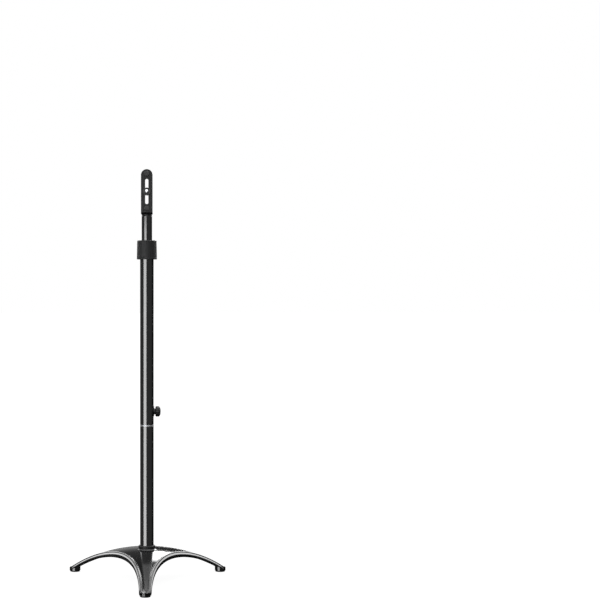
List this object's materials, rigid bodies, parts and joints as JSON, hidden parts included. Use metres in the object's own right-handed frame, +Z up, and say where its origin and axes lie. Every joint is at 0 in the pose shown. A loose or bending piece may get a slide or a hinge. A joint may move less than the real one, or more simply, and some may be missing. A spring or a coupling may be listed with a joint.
{
  "type": "speaker stand",
  "caption": "Height-adjustable floor stand for a small loudspeaker: arched three-legged cast base, telescoping black pole with clamp knob and collar, and a slotted bracket on top.",
  "frame": {"origin": "on the floor, at the centre of the bounding box's underside; the pole axis stands 44.8 mm behind it", "axes": "+Z up the pole; -Y along the front leg, to where the loudspeaker faces; +X to the side of the clamp knob"},
  "size_m": [0.3328, 0.2916, 0.8476],
  "materials": {
    "casting_gloss": "gloss black lacquer on cast metal",
    "tube_black": "satin black powder coat on steel tube",
    "plastic_matte": "fine matte moulded black plastic",
    "knob_plastic": "moulded black plastic, slightly shiny on the flutes",
    "pad_rubber": "soft matte black rubber",
    "ring_chrome": "polished",
    "zinc_steel": "zinc plated",
    "plate_black": "satin black powder coat on folded steel"
  },
  "bodies": {
    "stand": {"base_casting": "casting_gloss", "base_washer": "zinc_steel", "base_lock_washer": "zinc_steel", "base_bolt": "zinc_steel", "base_flange": "tube_black", "foot_pad_front": "pad_rubber", "foot_screw_front": "zinc_steel", "foot_pad_right": "pad_rubber", "foot_screw_right": "zinc_steel", "foot_pad_left": "pad_rubber", "foot_screw_left": "zinc_steel", "pole_plug": "zinc_steel", "lower_tube": "tube_black", "tube_coupler": "zinc_steel", "joint_ring": "ring_chrome", "upper_tube": "tube_black", "clamp_boss": "plastic_matte", "guide_bush": "plastic_matte", "collar": "plastic_matte"},
    "mast": {"inner_tube": "tube_black", "mast_end_plug": "plastic_matte", "mast_cap": "plastic_matte", "bracket_screw": "zinc_steel", "bracket_washer": "zinc_steel"},
    "bracket": {"speaker_bracket": "plate_black", "bumper_lower": "pad_rubber", "bumper_upper": "pad_rubber", "thumb_washer_rear": "zinc_steel", "thumb_washer_front": "pad_rubber", "thumb_screw": "knob_plastic"},
    "clamp": {"clamp_pad": "plastic_matte"},
    "knob": {"lock_knob": "knob_plastic", "lock_stud": "zinc_steel"}
  },
  "joints": [
    {"name": "height_slide", "type": "slide", "parent": "stand", "child": "mast", "axis": [0, 0, 1], "range_m": [0, 0.238]},
    {"name": "bracket_swivel", "type": "hinge", "parent": "mast", "child": "bracket", "pos_m": [0, 0.0448, 0.7556], "axis": [0, 0, 1], "continuous": true},
    {"name": "clamp_travel", "type": "slide", "parent": "stand", "child": "clamp", "axis": [1, 0, 0], "range_m": [0, 0.00125]},
    {"name": "knob_turn", "type": "hinge", "parent": "clamp", "child": "knob", "pos_m": [0.0232, 0.0448, 0.3475], "axis": [1, 0, 0], "range_deg": [0, 360]}
  ],
  "couplings": [
    {"joint": "clamp_travel", "follows": "knob_turn", "m_per_rad": 0.0001989}
  ]
}
